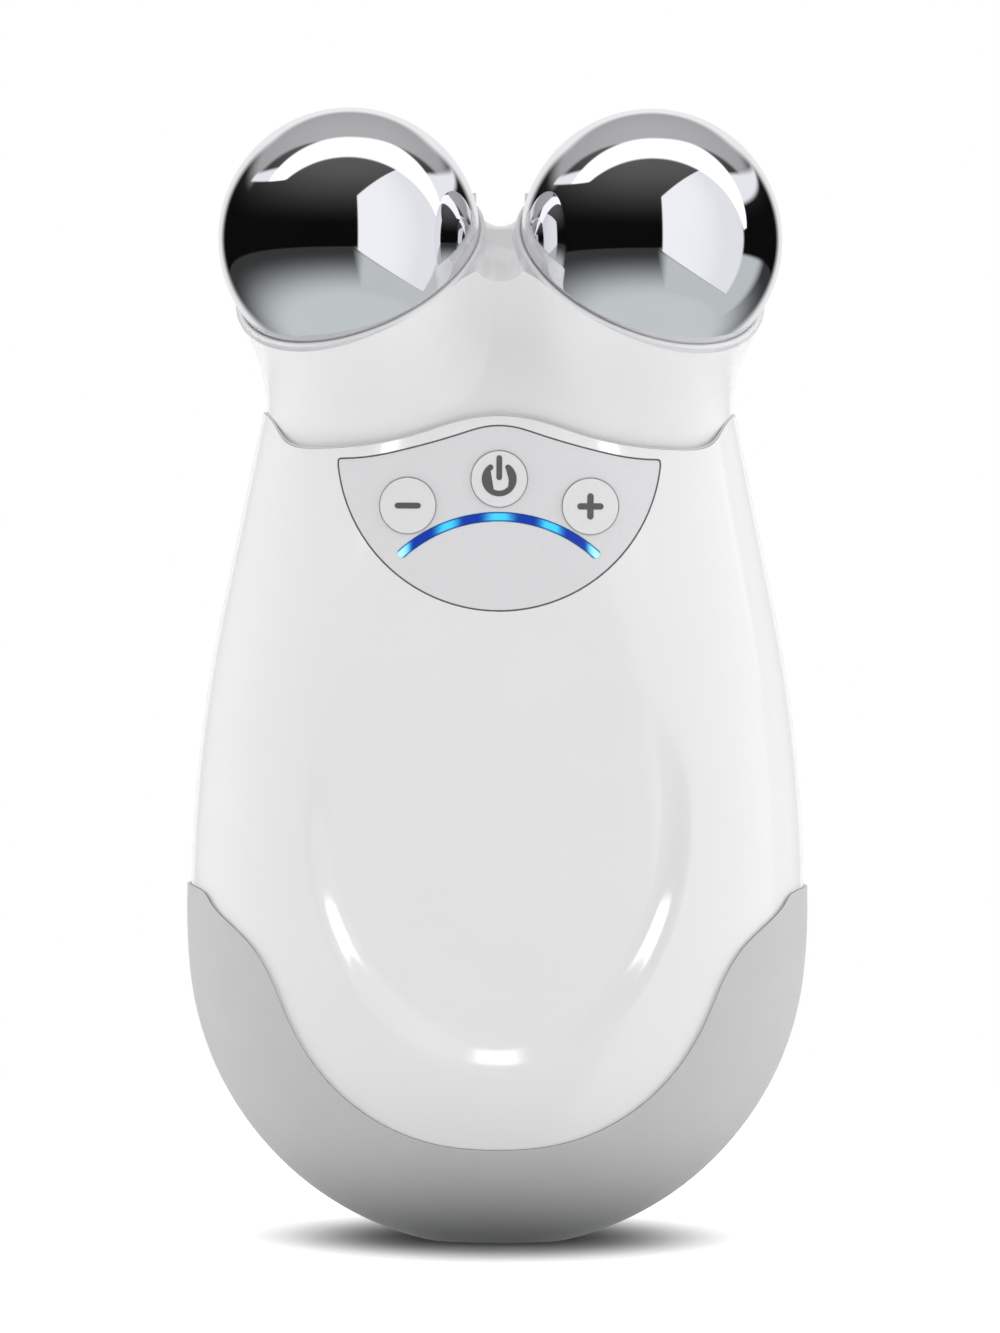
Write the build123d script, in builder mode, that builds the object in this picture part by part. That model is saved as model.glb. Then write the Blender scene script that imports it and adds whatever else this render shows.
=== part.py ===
"""Hand-held facial toning device: egg-shaped body, soft grip, control panel and a pull-off head.

Frame: +Z up along the body, the control panel faces -Y, X to the right.  The origin is the
centre of the flat patch under the grip on which the device stands.  Millimetres.
"""
from build123d import *
from math import atan2, cos, exp, pi, radians, sin, sqrt, tan
import os

os.makedirs("parts", exist_ok=True)

# ---------------------------------------------------------------- driving dimensions
# outer surface, measured over the soft grip
body_half_width = 38.6        # widest, from the centre line to one side
body_front_depth = 19.0       # deepest, from the parting plane forward
body_back_depth = 23.0        # deepest, from the parting plane back
base_round = (38.4, 18.6, 22.0)     # radius under the body: in width, to the front, to the back
hip_round = (73.0, 60.0, 80.0)      # radius round the widest place
flank_round = (184.0, 640.0, 240.0)  # radius up the flank
flank_lean = 11.7             # degrees at which the flank in front view runs straight
base_sink = 1.1               # the base arcs would reach this far below the standing patch
squareness = 2.3              # superellipse power of a level section

# thumb scoop in the front
scoop_depth = 2.6
scoop_height = 50.0           # level of its middle
scoop_half_width = 24.5
scoop_drop = 29.0             # middle to lower edge
scoop_rise = 36.0             # middle to upper edge, where it fades out

# walls and shells
grip_proud = 0.5              # the grip stands this far outside the white housing
grip_wall = 1.3
bond_gap = 0.05               # glue line between shells of the same body
housing_wall = 2.1
seam_gap = 0.25               # visible joint between head and body

# head
seam_middle = 102.4           # level of the joint at the centre line
seam_low = 98.3               # its lowest level, beside the panel
seam_low_x = 22.5
seam_side = 102.6             # its level at the flanks
head_step = 0.9               # the head is this much slimmer than the body at the joint
ball_radius = 16.1
ball_spacing = 37.0           # centre to centre
ball_rise = 25.9              # ball centres above the start of the bend
bend_start = 98.0
head_tilt = 36.0              # degrees by which the head leans forward at the balls
cup_tilt = 34.0               # degrees by which each cup leans forward
cup_splay = 20.0              # degrees by which each cup leans outward
cup_set_back = 4.2            # cup lip behind the ball centre, along the cup's axis
cup_wall = 0.65               # ball surface to outside of the lip
saddle_fillet = 8.0           # radius of the valley between the cups
head_wall = 1.8

# control panel
panel_half_width = 19.7
panel_top = 101.1
panel_shoulder = 97.0         # level of the upper corners
panel_side = 96.2
panel_bottom = 78.5
panel_thickness = 0.9
panel_corner = 0.7
panel_clearance = 0.12
button_radius = 3.4
button_clearance = 0.15
button_proud = 0.3
button_travel = 0.5
button_flange = 0.5           # how far the hidden flange is wider than the cap
flange_thickness = 0.6
flange_clearance = 0.2
stem_diameter = 3.2
button_places = {"power": (0.0, 94.6), "minus": (-11.15, 91.3), "plus": (11.15, 91.3)}
light_half_span = 11.8
light_end_level = 85.5
light_top_level = 90.0
light_width = 1.1
light_clearance = 0.04
light_count = 5

# circuit board
board_front = 8.6             # front face ahead of the parting plane
board_thickness = 1.2
board_half_width = 17.0
board_low, board_high = 58.0, 97.5
board_corner = 2.0
post_diameter = 4.6
post_places = [(14.0, 62.0), (14.6, 82.0)]
board_screw = 1.8
led_size = (2.0, 0.9, 1.4)
switch_size = (5.2, 1.3, 5.2)
plunger_diameter = 2.6
plunger_height = 0.9          # stands this far out of its switch
plunger_seat = 0.45           # and reaches this far in

# battery: one AA-size lithium cell
cell_diameter = 14.2
cell_length = 50.0
cell_bottom = 27.0
cell_back = 5.0               # centre line behind the parting plane
holder_wall = 1.2
holder_clearance = 0.1

# charging contacts in the back
stud_diameter = 7.0
stud_proud = 0.2
stud_spacing = 18.0
stud_level = 24.0
stud_neck = 3.0

# socket and spigot under the head
deck_level = 98.0
deck_thickness = 2.0
spigot_size = (24.0, 10.4)
spigot_length = 9.0
spigot_clearance = 0.3
spigot_corner = 3.0
socket_wall = 1.3
pin_diameter = 1.6
pin_spacing = 13.0
pin_reach = 6.5
sleeve_clearance = 0.05
sleeve_wall = 0.65
sleeve_length = 7.5
tray_thickness = 2.6
tray_wall = 1.4
tray_rim = 103.0
rim_clearance = 0.35

# screws
screw_clearance = 0.05
screw_play = 0.3              # a sunk screw head is this much smaller than its recess
case_screw = 3.0
case_screw_head = 5.4
case_screw_places = [(-27.0, 22.0), (27.0, 22.0)]
socket_screw = 2.2
socket_screw_places = [(-21.6, -5.3), (21.6, -5.3), (-21.6, 5.3), (21.6, 5.3)]
ball_screw = 2.5

section_points = 12           # per quarter turn of a level section
level_count = 30
reach = 60.0                  # larger than the device in any direction across
forward = (0, -1, 0)


# ---------------------------------------------------------------- the body's outer form
def outline(half, base, hip, flank, lean=90.0):
    """Half-size at each level: base arc, hip arc, flank arc and a straight, each tangent to the
    next.  The result takes a level and an inset measured square to the surface."""
    widest = base - base_sink + sqrt((hip - base) ** 2 - (hip - half) ** 2)
    base_level = base - base_sink
    slope = tan(radians(lean)) if lean < 90 else 0

    def half_size(level, inset):
        join = base_level - (widest - base_level) * (base - inset) / (hip - base)
        straight = widest + (flank - inset) * sin(radians(lean))
        if level < join:
            return sqrt(max((base - inset) ** 2 - (level - base_level) ** 2, 0.0))
        if level < widest:
            return half - hip + sqrt((hip - inset) ** 2 - (level - widest) ** 2)
        arc_level = min(level, straight)
        size = half - flank + sqrt((flank - inset) ** 2 - (arc_level - widest) ** 2)
        return size - (level - arc_level) * slope

    return half_size


width_at = outline(body_half_width, base_round[0], hip_round[0], flank_round[0], flank_lean)
front_at = outline(body_front_depth, base_round[1], hip_round[1], flank_round[1])
back_at = outline(body_back_depth, base_round[2], hip_round[2], flank_round[2])


def scoop(x, level):
    """How far the thumb scoop lies below the front surface."""
    height = scoop_drop if level < scoop_height else scoop_rise
    away = (x / scoop_half_width) ** 2 + ((level - scoop_height) / height) ** 2
    return scoop_depth * exp(-(away**2))


def power(value, exponent):
    """Signed power, for the superellipse."""
    return abs(value) ** exponent * (1 if value >= 0 else -1)


def mirrored_face(points):
    """Face inside a smooth curve through half a section's points and its mirror image.  Every
    section has the same parameters, so a loft through them needs no more knots than one has,
    and its two halves stay two curves, so that no surface closes on itself."""
    last = len(points) - 1
    shares = [index / last for index in range(last + 1)]
    ends = [(points[1][0] * last, 0), (-points[-2][0] * last, 0)]
    half = Edge.make_spline(points, ends, parameters=shares, scale=False)
    return Face(Wire([half, half.mirror(Plane.YZ)]))


def section_point(level, inset, turn):
    """Point of the level section at a turn from -90 (front middle) to +90 (back middle)."""
    depth = front_at if turn < 0 else back_at
    x = width_at(level, inset) * power(cos(radians(turn)), 2 / squareness)
    y = depth(level, inset) * power(sin(radians(turn)), 2 / squareness)
    if turn < 0:
        y += scoop(x, level) * (-sin(radians(turn))) ** 2
    return x, y


def section_face(level, inset, at=None):
    """Closed level section of the body at an inset from its outer surface; `at` redraws it
    at another height."""
    steps = range(-section_points, section_points + 1)
    half = [section_point(level, inset, 90 * step / section_points) for step in steps]
    half[0] = (0, half[0][1])
    half[-1] = (0, half[-1][1])
    return Plane.XY.offset(level if at is None else at) * mirrored_face(half)


def body_form(inset, bottom=None, levels=level_count):
    """Solid body form at an inset, cut flat at its standing patch and above the head joint."""
    bottom = inset if bottom is None else bottom
    top = seam_side + 1.0
    with BuildPart() as form:
        for step in range(levels + 1):
            share = 1 - cos(radians(90 * step / levels))
            add(section_face(bottom + (top - bottom) * share, inset))
        loft(clean=False)
    return form.part


def curtain(points, top):
    """Everything between a curve drawn in front view and a level, through the whole depth.
    The curve is given for x >= 0 and mirrored; it is carried level past the flanks."""
    last = (reach, points[-1][1])
    with BuildPart() as block:
        with BuildSketch(Plane.XZ):
            with BuildLine():
                Spline(points, tangents=[(1, 0), (1, 0)])
                Line(points[-1], last)
                Polyline(last, (reach, top), (0, top))
                mirror(about=Plane.YZ)
            make_face()
        extrude(amount=reach, both=True)
    return block.part


# front-view curves
seam_curve = [
    (0, seam_middle),
    (10.0, seam_middle - 2.3),
    (seam_low_x, seam_low),
    (26.5, seam_low + 1.0),
    (29.6, seam_side),
]
grip_curve = [
    (0, 12.7),
    (10.1, 14.1),
    (18.0, 18.4),
    (25.4, 27.9),
    (30.7, 37.8),
    (35.4, 42.3),
    (39.2, 44.1),
]


def shifted(points, rise):
    """The same curve at another height."""
    return [(x, z + rise) for x, z in points]


# ---------------------------------------------------------------- the head's outer form
bend_radius = ball_rise / sin(radians(head_tilt))
neck_inset = grip_proud + head_step
neck_level = (seam_middle + seam_low) / 2
neck_width = width_at(neck_level, neck_inset)
neck_front = front_at(neck_level, neck_inset)
neck_back = back_at(neck_level, neck_inset)
neck_y = (neck_back - neck_front) / 2
neck_depth = (neck_back + neck_front) / 2
flare_tilt = head_tilt - 2.0  # the cups have their full width at this tilt
swell_tilt = head_tilt - 6.0  # and their full depth already at this one
fan_top = 46.0
hollow_top = 26.0             # tilt up to which the head is hollow
fan_steps = 12


def fan_plane(tilt):
    """Section plane of the head at a forward tilt; its origin runs up the bent spine."""
    angle = radians(tilt)
    y = neck_y - bend_radius * (1 - cos(angle))
    z = bend_start + bend_radius * sin(angle)
    return Plane(origin=(0, y, z), x_dir=(1, 0, 0), z_dir=(0, -sin(angle), cos(angle)))


def ease(value):
    """Smooth step from 0 to 1."""
    value = min(max(value, 0.0), 1.0)
    return value * value * (3 - 2 * value)


def twin_cup_point(share, inset):
    """Point on a quarter of the twin-cup outline, from the flank (0) to the valley (1)."""
    lobe = ball_radius + cup_wall - inset
    valley = saddle_fillet + inset
    middle = ball_spacing / 2
    height = sqrt((lobe + valley) ** 2 - middle**2)
    lobe_turn = pi - atan2(height, middle)
    valley_turn = atan2(middle, height)
    walked = share * (lobe * lobe_turn + valley * valley_turn)
    if walked < lobe * lobe_turn:
        turn = walked / lobe
        return middle + lobe * cos(turn), lobe * sin(turn)
    turn = valley_turn - (walked - lobe * lobe_turn) / valley
    return valley * sin(turn), height - valley * cos(turn)


def neck_point(share, inset):
    """Point on a quarter of the oval neck outline, from the flank (0) to the middle (1)."""
    turn = radians(90 * share)
    x = (neck_width - inset) * power(cos(turn), 2 / squareness)
    y = (neck_depth - inset) * power(sin(turn), 2 / squareness)
    return x, y


def head_point(tilt, share, inset):
    """Point on a quarter of the head's section at a tilt: the oval swells into the twin cups,
    sooner in depth than in width, so that the balls are covered in front as well."""
    swells = (ease(tilt / flare_tilt) ** 2, ease(tilt / swell_tilt))
    neck = neck_point(share, inset)
    cups = twin_cup_point(share, inset)
    return tuple(a + (b - a) * swell for a, b, swell in zip(neck, cups, swells))


def head_form(inset, low, high):
    """Solid head form between two tilts."""
    count = 2 * section_points
    with BuildPart() as form:
        for step in range(fan_steps + 1):
            tilt = low + (high - low) * step / fan_steps
            quarter = [head_point(tilt, index / count, inset) for index in range(count + 1)]
            quarter[-1] = (0, quarter[-1][1])
            front = [(x, -y) for x, y in reversed(quarter[1:])]
            add(fan_plane(tilt) * mirrored_face(front + quarter))
        loft(clean=False)
    return form.part


def cup_plane(side):
    """Plane through a ball's centre, square to its cup's axis; side is -1 or 1."""
    tilt = radians(cup_tilt)
    splay = radians(cup_splay)
    axis = (side * sin(splay), -cos(splay) * sin(tilt), cos(splay) * cos(tilt))
    centre = fan_plane(head_tilt).origin
    return Plane(origin=(side * ball_spacing / 2, centre.Y, centre.Z), z_dir=axis)


def turning_plane(plane):
    """Plane through a cup's axis: its own y runs along the axis, for profiles to revolve."""
    return Plane(origin=plane.origin, x_dir=plane.x_dir, z_dir=-plane.y_dir)


def cut_ball(plane, radius, base):
    """Solid ball round a plane's origin, cut flat at a distance below it."""
    with BuildPart() as ball:
        with BuildSketch(turning_plane(plane)):
            with BuildLine():
                rim = (sqrt(radius**2 - base**2), -base)
                ThreePointArc((0, radius), (radius, 0), rim)
                Polyline(rim, (0, -base), (0, radius))
            make_face()
        revolve(axis=Axis(plane.origin, plane.z_dir))
    return ball.part


def rod(plane, start, end, diameter):
    """Round rod along a plane's normal between two distances from its origin."""
    with BuildPart() as piece:
        with BuildSketch(plane.offset(start)):
            Circle(diameter / 2)
        extrude(amount=end - start)
    return piece.part


def block(low, high):
    """Rectangular block between two corners."""
    size = [b - a for a, b in zip(low, high)]
    with BuildPart(Plane(origin=low)) as piece:
        Box(*size, align=(Align.MIN, Align.MIN, Align.MIN))
    return piece.part


def finish(piece, label):
    """Name a finished piece and write it."""
    piece.part.label = label
    export_step(piece.part, f"parts/{label}.step")


def upright(x, y):
    """Plane at ground level looking up at a place in plan."""
    return Plane(origin=(x, y, 0))


def facing_front(x, level):
    """Plane on the parting plane at a place in front view; its normal runs forward."""
    return Plane(origin=(x, 0, level), x_dir=(1, 0, 0), z_dir=(0, -1, 0))


def front_surface(x, level, inset):
    """Distance of the front surface ahead of the parting plane."""
    share = 1 - (abs(x) / width_at(level, inset)) ** squareness
    return front_at(level, inset) * share ** (1 / squareness) - scoop(x, level)


def back_surface(x, level, inset):
    """Distance of the back surface behind the parting plane."""
    share = 1 - (abs(x) / width_at(level, inset)) ** squareness
    return back_at(level, inset) * share ** (1 / squareness)


# ---------------------------------------------------------------- shared forms
cavity_inset = grip_proud + housing_wall
skin = body_form(grip_proud)
cavity = body_form(cavity_inset)
front_skin = split(skin, bisect_by=Plane.XZ, keep=Keep.TOP)
back_skin = split(skin, bisect_by=Plane.XZ, keep=Keep.BOTTOM)
front_cavity = split(cavity, bisect_by=Plane.XZ, keep=Keep.TOP)
back_cavity = split(cavity, bisect_by=Plane.XZ, keep=Keep.BOTTOM)
wall_middle = body_form(grip_proud + housing_wall / 2)
below_seam = curtain(shifted(seam_curve, -seam_gap / 2), -reach)
above_seam = curtain(shifted(seam_curve, seam_gap / 2), 3 * reach)

with BuildPart() as grip_recess:
    add(curtain(shifted(grip_curve, bond_gap), -reach), clean=False)
    add(body_form(grip_wall + bond_gap), mode=Mode.SUBTRACT, clean=False)

# ---------------------------------------------------------------- base grip
with BuildPart() as base_grip:
    add(body_form(0.0), clean=False)
    add(curtain(grip_curve, -reach), mode=Mode.INTERSECT, clean=False)
    add(body_form(grip_wall), mode=Mode.SUBTRACT, clean=False)
finish(base_grip, "base_grip")


# ---------------------------------------------------------------- control panel
plate_bottom = panel_bottom - 3.0
plate_levels = 8
panel_start = 5.0             # the panel's prism starts this far ahead of the parting plane
plate_inset = grip_proud + bond_gap
plate_back_inset = plate_inset + panel_thickness


def panel_sketch(grow):
    """Outline of the panel in front view, drawn larger by a clearance."""
    side = panel_half_width + grow
    low = panel_bottom - grow
    shoulder = panel_shoulder + grow
    crown = panel_top + grow
    with BuildSketch(Plane.XZ.offset(panel_start)) as outline_sketch:
        with BuildLine():
            top = [(0, crown), (4.7, crown - 1.0), (13.0, shoulder + 0.8), (side, shoulder)]
            Spline(top, tangents=[(1, 0), (1, 0)])
            Line(top[-1], (side, panel_side))
            drop = panel_side - low
            RadiusArc((side, panel_side), (0, low), (side**2 + drop**2) / (2 * drop))
            mirror(about=Plane.YZ)
        make_face()
        corners = outline_sketch.vertices().group_by(Axis.X)
        fillet(corners[0] + corners[-1], panel_corner / 2 + grow)
    return outline_sketch.sketch


def light_sketch(grow):
    """Outline of the curved light bar in front view, grown by a clearance."""
    end = (light_half_span, light_end_level)
    middle_line = ThreePointArc(end, (0, light_top_level), (-light_half_span, light_end_level))
    with BuildSketch(Plane.XZ) as bar:
        SlotArc(middle_line, light_width + 2 * grow)
    return bar.sketch


with BuildPart() as panel_hollow:
    extrude(panel_sketch(panel_clearance), amount=reach, dir=forward, clean=False)
    core = body_form(plate_back_inset + bond_gap, plate_bottom, plate_levels)
    add(core, mode=Mode.SUBTRACT, clean=False)

with BuildPart() as control_panel:
    extrude(panel_sketch(0), amount=reach, dir=forward, clean=False)
    openings = [
        rod(facing_front(x, level), 0, reach, 2 * (button_radius + button_clearance))
        for x, level in button_places.values()
    ]
    add(openings, mode=Mode.SUBTRACT, clean=False)
    slot = light_sketch(light_clearance)
    extrude(slot, amount=reach, dir=forward, mode=Mode.SUBTRACT, clean=False)
    add(body_form(plate_inset, plate_bottom, plate_levels), mode=Mode.INTERSECT, clean=False)
    add(body_form(plate_back_inset, plate_bottom, plate_levels), mode=Mode.SUBTRACT, clean=False)
finish(control_panel, "control_panel")

# ---------------------------------------------------------------- buttons, switches, light bar
button_skin = body_form(grip_proud - button_proud, plate_bottom, plate_levels)
flange_radius = button_radius + button_flange
switch_front = board_front + switch_size[1]
stem_end = switch_front + plunger_height + bond_gap

for name, (x, level) in button_places.items():
    edge = front_surface(abs(x) + flange_radius, level + flange_radius, plate_back_inset)
    flange_front = edge - flange_clearance
    with BuildPart() as button:
        add(rod(facing_front(x, level), flange_front, reach, 2 * button_radius))
        add(button_skin, mode=Mode.INTERSECT)
        flange_back = flange_front - flange_thickness
        add(rod(facing_front(x, level), flange_back, flange_front, 2 * flange_radius))
        add(rod(facing_front(x, level), stem_end, flange_back, stem_diameter))
        extrude(light_sketch(flange_clearance), amount=reach, dir=forward, mode=Mode.SUBTRACT)
    finish(button, f"{name}_button")
    with BuildPart() as plunger:
        low = switch_front - plunger_seat
        add(rod(facing_front(x, level), low, switch_front + plunger_height, plunger_diameter))
    finish(plunger, f"{name}_plunger")

with BuildPart() as switch_bodies:
    for x, level in button_places.values():
        width, depth, height = switch_size
        low = (x - width / 2, -switch_front, level - height / 2)
        high = (x + width / 2, -board_front, level + height / 2)
        add(block(low, high))
        well = switch_front - plunger_seat - button_travel - bond_gap
        bore = plunger_diameter + 2 * bond_gap
        add(rod(facing_front(x, level), well, reach, bore), mode=Mode.SUBTRACT)
finish(switch_bodies, "switch_bodies")

led_front = board_front + led_size[1]
with BuildPart() as light_bar:
    extrude(light_sketch(0), amount=reach, dir=forward, clean=False)
    cover = body_form(plate_inset - bond_gap, plate_bottom, plate_levels)
    add(cover, mode=Mode.INTERSECT, clean=False)
    behind = block((-reach, -led_front - bond_gap, 0), (reach, reach, 2 * reach))
    add(behind, mode=Mode.SUBTRACT, clean=False)
finish(light_bar, "light_bar")

light_rise = light_top_level - light_end_level
light_radius = (light_half_span**2 + light_rise**2) / (2 * light_rise)
light_turn = atan2(light_half_span, light_radius - light_rise)
led_spread = 0.95             # the outer diodes stop just short of the bar's ends
with BuildPart() as leds:
    for index in range(light_count):
        turn = light_turn * led_spread * (2 * index / (light_count - 1) - 1)
        x = light_radius * sin(turn)
        level = light_top_level - light_radius * (1 - cos(turn))
        width, depth, height = led_size
        low = (x - width / 2, -led_front, level - height / 2)
        add(block(low, (x + width / 2, -board_front, level + height / 2)))
finish(leds, "leds")

# ---------------------------------------------------------------- circuit board
board_back = board_front - board_thickness
all_posts = [(side * x, z) for x, z in post_places for side in (-1, 1)]
with BuildPart() as main_board:
    with BuildSketch(Plane.XZ.offset(board_back)):
        with Locations((0, (board_low + board_high) / 2)):
            RectangleRounded(2 * board_half_width, board_high - board_low, board_corner)
        with Locations(*all_posts):
            Circle(board_screw / 2 + screw_clearance, mode=Mode.SUBTRACT)
    extrude(amount=board_thickness)
finish(main_board, "main_board")

board_screw_grip = 3.5
board_screw_head = 0.9
with BuildPart() as board_screws:
    for x, level in all_posts:
        plane = facing_front(x, level)
        add(rod(plane, board_back, board_front + board_screw_grip, board_screw))
        add(rod(plane, board_back - board_screw_head, board_back, 2 * board_screw))
finish(board_screws, "board_screws")

chip_thickness = 1.0
chip_places = [((-7.0, 74.5), 7.0), ((4.0, 75.5), 5.0), ((11.0, 73.0), 4.0)]
with BuildPart() as board_chips:
    for (x, level), width in chip_places:
        low = (x - width / 2, -board_back, level - width / 2)
        add(block(low, (x + width / 2, -board_back + chip_thickness, level + width / 2)))
finish(board_chips, "board_chips")

coil_flange = 0.8
coil_height = 3.2
coil_diameter = 8.0
coil_core = 6.0
part_row = 64.5               # level of the coil and the buzzer
with BuildPart() as boost_coil:
    plane = Plane(origin=(-coil_diameter, -board_back, part_row), z_dir=(0, 1, 0))
    add(rod(plane, 0, coil_flange, coil_diameter))
    add(rod(plane, coil_flange, coil_height - coil_flange, coil_core))
    add(rod(plane, coil_height - coil_flange, coil_height, coil_diameter))
finish(boost_coil, "boost_coil")

buzzer_diameter = 9.0
buzzer_height = 2.6
sound_hole = 1.6
sound_hole_depth = 0.8
with BuildPart() as buzzer:
    plane = Plane(origin=(coil_diameter, -board_back, part_row), z_dir=(0, 1, 0))
    add(rod(plane, 0, buzzer_height, buzzer_diameter))
    floor = buzzer_height - sound_hole_depth
    add(rod(plane, floor, buzzer_height, sound_hole), mode=Mode.SUBTRACT)
finish(buzzer, "buzzer")

# ---------------------------------------------------------------- battery and its cradle
cell_plane = upright(0, cell_back)
cell_top = cell_bottom + cell_length
cell_rim = 0.6
cell_cap = 5.5
cell_cap_height = 1.2
with BuildPart() as battery_cell:
    add(rod(cell_plane, cell_bottom, cell_top - cell_cap_height, cell_diameter))
    rims = battery_cell.edges().filter_by(GeomType.CIRCLE)
    fillet(rims, cell_rim)
    add(rod(cell_plane, cell_top - cell_cap_height, cell_top, cell_cap))
finish(battery_cell, "battery_cell")

contact_plate = 0.4
contact_half_width = 4.0
contact_back = 4.5
contact_front = 2.5
holder_open = 2.0             # the cradle is open ahead of this depth before the cell's axis
bore_low = cell_bottom - contact_plate
bore_high = cell_top + contact_plate
holder_radius = cell_diameter / 2 + holder_clearance + holder_wall
with BuildPart() as battery_contacts:
    for low in (bore_low, cell_top):
        near = (-contact_half_width, cell_back - contact_front, low)
        far = (contact_half_width, cell_back + contact_back, low + contact_plate)
        add(block(near, far))
finish(battery_contacts, "battery_contacts")

foot_half_width = 5.0
foot_height = 3.0
foot_margin = 10.0
with BuildPart() as battery_holder:
    low, high = bore_low - holder_wall, bore_high + holder_wall
    add(rod(cell_plane, low, high, 2 * holder_radius), clean=False)
    for foot in (low + foot_margin, high - foot_margin):
        levels = (foot, foot + foot_height)
        ends = [back_surface(foot_half_width, level, cavity_inset) for level in levels]
        tip = min(ends) - bond_gap
        add(block((-foot_half_width, cell_back, foot), (foot_half_width, tip, foot + foot_height)))
    bore = cell_diameter + 2 * holder_clearance
    add(rod(cell_plane, bore_low, bore_high, bore), mode=Mode.SUBTRACT, clean=False)
    ahead = block((-reach, -reach, 0), (reach, cell_back - holder_open, 2 * reach))
    add(ahead, mode=Mode.SUBTRACT, clean=False)
finish(battery_holder, "battery_holder")

# ---------------------------------------------------------------- charging contacts
stud_places = [(side * stud_spacing / 2, stud_level) for side in (-1, 1)]
stud_face = back_surface(stud_spacing / 2, stud_level, grip_proud) + stud_proud
stud_thickness = 1.5
stud_seat = stud_face - stud_thickness
charge_board_back = 17.8
charge_board_size = (25.0, 9.0)
charge_board_level = 24.5
charge_board_corner = 1.0
charge_screw_grip = 2.2


def facing_back_at(x, level):
    """Plane on the parting plane at a place in front view; its normal runs back."""
    return Plane(origin=(x, 0, level), x_dir=(-1, 0, 0), z_dir=(0, 1, 0))


with BuildPart() as charging_contacts:
    for x, level in stud_places:
        add(rod(facing_back_at(x, level), stud_seat, stud_face, stud_diameter))
        neck_end = charge_board_back - board_thickness
        add(rod(facing_back_at(x, level), neck_end, stud_seat, stud_neck))
finish(charging_contacts, "charging_contacts")

with BuildPart() as charge_board:
    with BuildSketch(facing_back_at(0, charge_board_level).offset(charge_board_back)):
        RectangleRounded(*charge_board_size, charge_board_corner)
        Circle(board_screw / 2 + screw_clearance, mode=Mode.SUBTRACT)
    extrude(amount=-board_thickness)
    for x, level in stud_places:
        hole = stud_neck + 2 * screw_clearance
        add(rod(facing_back_at(x, level), 0, reach, hole), mode=Mode.SUBTRACT)
finish(charge_board, "charge_board")

with BuildPart() as charge_board_screw:
    plane = facing_back_at(0, charge_board_level)
    front = charge_board_back - board_thickness
    add(rod(plane, front, charge_board_back + charge_screw_grip, board_screw))
    add(rod(plane, front - board_screw_head, front, 2 * board_screw))
finish(charge_board_screw, "charge_board_screw")

# ---------------------------------------------------------------- socket that takes the head
spigot_play = 0.5             # under the end of the spigot
socket_floor = deck_level - spigot_length - spigot_play
socket_bottom = socket_floor - socket_wall
cup_size = [side + 2 * (spigot_clearance + socket_wall) for side in spigot_size]
well_size = [side + 2 * spigot_clearance for side in spigot_size]
pin_places = [(-pin_spacing / 2, 0), (pin_spacing / 2, 0)]
sleeve_bore = pin_diameter + 2 * sleeve_clearance
sleeve_outer = sleeve_bore + 2 * sleeve_wall
deck_bottom = deck_level - deck_thickness
socket_seat = deck_level - 1.2          # under the heads of the socket's screws
socket_screw_length = 7.0
sunk = 0.1                    # depth of a screw head below the face around it

with BuildPart() as head_socket:
    deck = section_face(deck_level, cavity_inset + 2 * bond_gap, deck_bottom)
    extrude(deck, amount=deck_thickness, clean=False)
    with BuildSketch(Plane.XY.offset(socket_bottom)):
        RectangleRounded(*cup_size, spigot_corner + socket_wall)
    extrude(amount=deck_level - socket_bottom, clean=False)
    with BuildSketch(Plane.XY.offset(socket_floor)):
        RectangleRounded(*well_size, spigot_corner + spigot_clearance)
    extrude(amount=reach, mode=Mode.SUBTRACT, clean=False)
    for place in pin_places:
        hole = sleeve_outer + 2 * bond_gap
        add(rod(upright(*place), 0, 2 * reach, hole), mode=Mode.SUBTRACT, clean=False)
    for place in socket_screw_places:
        hole = socket_screw + 2 * screw_clearance
        add(rod(upright(*place), 0, 2 * reach, hole), mode=Mode.SUBTRACT, clean=False)
        recess = rod(upright(*place), socket_seat, 2 * reach, 2 * socket_screw)
        add(recess, mode=Mode.SUBTRACT, clean=False)
    low = (-board_half_width - rim_clearance, -reach, 0)
    high = (board_half_width + rim_clearance, -board_back + rim_clearance, 2 * reach)
    add(block(low, high), mode=Mode.SUBTRACT, clean=False)
finish(head_socket, "head_socket")

with BuildPart() as contact_sleeves:
    for place in pin_places:
        add(rod(upright(*place), socket_floor - sleeve_length, socket_floor, sleeve_outer))
        add(rod(upright(*place), 0, 2 * reach, sleeve_bore), mode=Mode.SUBTRACT)
finish(contact_sleeves, "contact_sleeves")

with BuildPart() as socket_screws:
    for place in socket_screw_places:
        plane = upright(*place)
        add(rod(plane, socket_seat - socket_screw_length, socket_seat, socket_screw))
        add(rod(plane, socket_seat, deck_level - sunk, 2 * socket_screw - screw_play))
finish(socket_screws, "socket_screws")

# ---------------------------------------------------------------- housings
case_seat = 9.0               # screw head seat behind the parting plane
case_boss = 8.0
lug_low = deck_bottom - 8.0
lug_half_width = 3.4
lug_x = socket_screw_places[1][0]
lug_start = 1.5
lug_hole_depth = 7.5
post_hole_depth = 3.7
case_hole_depth = 8.5
case_screw_reach = 8.0        # past the parting plane
case_head_height = 2.0


def lugs(near, far):
    """Blocks under the socket's deck that take its screws, between two depths."""
    sides = []
    for side in (-1, 1):
        low = (side * lug_x - lug_half_width, near, lug_low)
        sides.append(block(low, (side * lug_x + lug_half_width, far, deck_bottom)))
    return sides


def lug_holes():
    """Pilot holes for the socket's screws."""
    low = deck_bottom - lug_hole_depth
    return [rod(upright(*place), low, deck_bottom, socket_screw) for place in socket_screw_places]


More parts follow.
